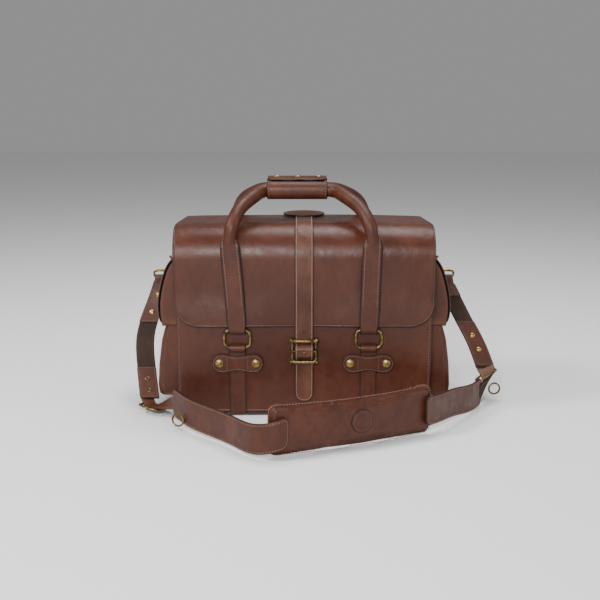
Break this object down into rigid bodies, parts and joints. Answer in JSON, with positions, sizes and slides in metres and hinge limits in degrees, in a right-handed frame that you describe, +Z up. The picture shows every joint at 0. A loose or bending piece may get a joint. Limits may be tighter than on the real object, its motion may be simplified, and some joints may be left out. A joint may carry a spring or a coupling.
{
  "type": "leather briefcase",
  "caption": "Leather briefcase with a full flap, centre buckle strap, rolled twin handles on ring tabs, side pockets with flaps, and a padded shoulder strap on snap hooks.",
  "frame": {"origin": "middle of the underside of the base panel, where the bag stands", "axes": "+X along the bag to the right as seen from its buckle side, +Y from the buckle side to the back, +Z up"},
  "size_m": [0.637, 0.4385, 0.39],
  "materials": {
    "body_leather": "smooth chestnut bridle leather, semi-gloss",
    "strap_leather": "chestnut strap leather, burnished edges",
    "flesh_leather": "flesh side, matt and napped",
    "lining_leather": "suede lining",
    "antique_brass": "antiqued brass, darkened in its hollows"
  },
  "bodies": {
    "root": {"base_panel": "body_leather", "front_panel": "body_leather", "back_panel": "body_leather", "left_gusset": "body_leather", "right_gusset": "body_leather", "inner_divider": "lining_leather", "left_pocket": "body_leather", "right_pocket": "body_leather", "left_base_strap": "strap_leather", "right_base_strap": "strap_leather", "front_tab_left": "strap_leather", "front_tab_right": "strap_leather", "back_tab_left": "strap_leather", "back_tab_right": "strap_leather", "front_rivet_left_outer": "antique_brass", "front_rivet_left_inner": "antique_brass", "front_rivet_right_outer": "antique_brass", "front_rivet_right_inner": "antique_brass", "back_rivet_left_outer": "antique_brass", "back_rivet_left_inner": "antique_brass", "back_rivet_right_outer": "antique_brass", "back_rivet_right_inner": "antique_brass", "closure_buckle": "antique_brass", "closure_chape": "strap_leather", "left_side_ring": "antique_brass", "right_side_ring": "antique_brass", "left_ring_chape": "strap_leather", "right_ring_chape": "strap_leather", "left_snap_hook": "antique_brass", "right_snap_hook": "antique_brass"},
    "flap_top": {"flap_top": "body_leather", "flap_patch": "strap_leather"},
    "flap_front": {"flap_front": "body_leather", "closure_strap": "strap_leather", "closure_strap_tail": "strap_leather"},
    "front_handle": {"front_handle": "strap_leather", "front_ring_left": "antique_brass", "front_ring_right": "antique_brass"},
    "rear_handle": {"rear_handle": "strap_leather", "rear_ring_left": "antique_brass", "rear_ring_right": "antique_brass", "grip_wrap_base": "strap_leather"},
    "wrap_cover": {"grip_wrap_cover": "strap_leather", "snap_cap_left": "antique_brass", "snap_cap_middle": "antique_brass", "snap_cap_right": "antique_brass"},
    "closure_roller": {"closure_roller": "antique_brass"},
    "left_pocket_flap": {"left_pocket_flap": "body_leather"},
    "right_pocket_flap": {"right_pocket_flap": "body_leather"},
    "left_hook_lever": {"left_hook_lever": "antique_brass"},
    "right_hook_lever": {"right_hook_lever": "antique_brass"},
    "shoulder_strap": {"left_leg_strap": "flesh_leather", "right_leg_strap": "flesh_leather", "left_strap_buckle": "antique_brass", "right_strap_buckle": "antique_brass", "left_wide_strap": "strap_leather", "right_wide_strap": "strap_leather", "shoulder_pad": "strap_leather"},
    "left_accessory_ring": {"left_accessory_ring": "antique_brass"},
    "right_accessory_ring": {"right_accessory_ring": "antique_brass"}
  },
  "joints": [
    {"name": "flap_open", "type": "hinge", "parent": "root", "child": "flap_top", "pos_m": [0, 0.097, 0.273], "axis": [-1, 0, 0], "range_deg": [0, 105], "deforming": ["closure_strap_tail", "grip_wrap_cover"]},
    {"name": "flap_front_fold", "type": "hinge", "parent": "flap_top", "child": "flap_front", "pos_m": [0, -0.0809, 0.2999], "axis": [1, 0, 0], "range_deg": [0, 55]},
    {"name": "front_handle_fold", "type": "hinge", "parent": "root", "child": "front_handle", "pos_m": [0, -0.1025, 0.117], "axis": [1, 0, 0], "range_deg": [0, 95]},
    {"name": "rear_handle_fold", "type": "hinge", "parent": "root", "child": "rear_handle", "pos_m": [0, 0.1025, 0.117], "axis": [-1, 0, 0], "range_deg": [0, 95]},
    {"name": "wrap_open", "type": "hinge", "parent": "rear_handle", "child": "wrap_cover", "pos_m": [0, 0, 0.354], "axis": [1, 0, 0], "range_deg": [0, 150]},
    {"name": "roller_spin", "type": "hinge", "parent": "root", "child": "closure_roller", "pos_m": [0, -0.1044, 0.129], "axis": [1, 0, 0], "continuous": true},
    {"name": "left_pocket_open", "type": "hinge", "parent": "root", "child": "left_pocket_flap", "pos_m": [-0.2012, 0, 0.2615], "axis": [0, 1, 0], "range_deg": [0, 55], "deforming": ["left_leg_strap"]},
    {"name": "right_pocket_open", "type": "hinge", "parent": "root", "child": "right_pocket_flap", "pos_m": [0.2012, 0, 0.2615], "axis": [0, -1, 0], "range_deg": [0, 55], "deforming": ["right_leg_strap"]},
    {"name": "left_lever_press", "type": "hinge", "parent": "root", "child": "left_hook_lever", "pos_m": [-0.2275, 0.078, 0.2275], "axis": [0, -1, 0], "range_deg": [0, 12], "stiffness_Nm_per_rad": 0.02},
    {"name": "right_lever_press", "type": "hinge", "parent": "root", "child": "right_hook_lever", "pos_m": [0.2275, 0.078, 0.2275], "axis": [0, 1, 0], "range_deg": [0, 12], "stiffness_Nm_per_rad": 0.02},
    {"name": "shoulder_strap_swing", "type": "hinge", "parent": "root", "child": "shoulder_strap", "pos_m": [0, 0.078, 0.203], "axis": [-1, 0, 0], "range_deg": [0, 100]},
    {"name": "left_ring_swing", "type": "hinge", "parent": "shoulder_strap", "child": "left_accessory_ring", "pos_m": [-0.193, -0.1789, 0.017], "axis": [0, 0, 1], "range_deg": [-8, 35]},
    {"name": "right_ring_swing", "type": "hinge", "parent": "shoulder_strap", "child": "right_accessory_ring", "pos_m": [0.3226, -0.009, 0.021], "axis": [0, 0, 1], "range_deg": [-35, 35]}
  ],
  "couplings": [
    {"joint": "flap_front_fold", "follows": "flap_open", "ratio": 0.4},
    {"joint": "front_handle_fold", "follows": "flap_open", "ratio": 0.9},
    {"joint": "rear_handle_fold", "follows": "flap_open", "ratio": 0.9},
    {"joint": "wrap_open", "follows": "flap_open", "ratio": 1.4}
  ]
}
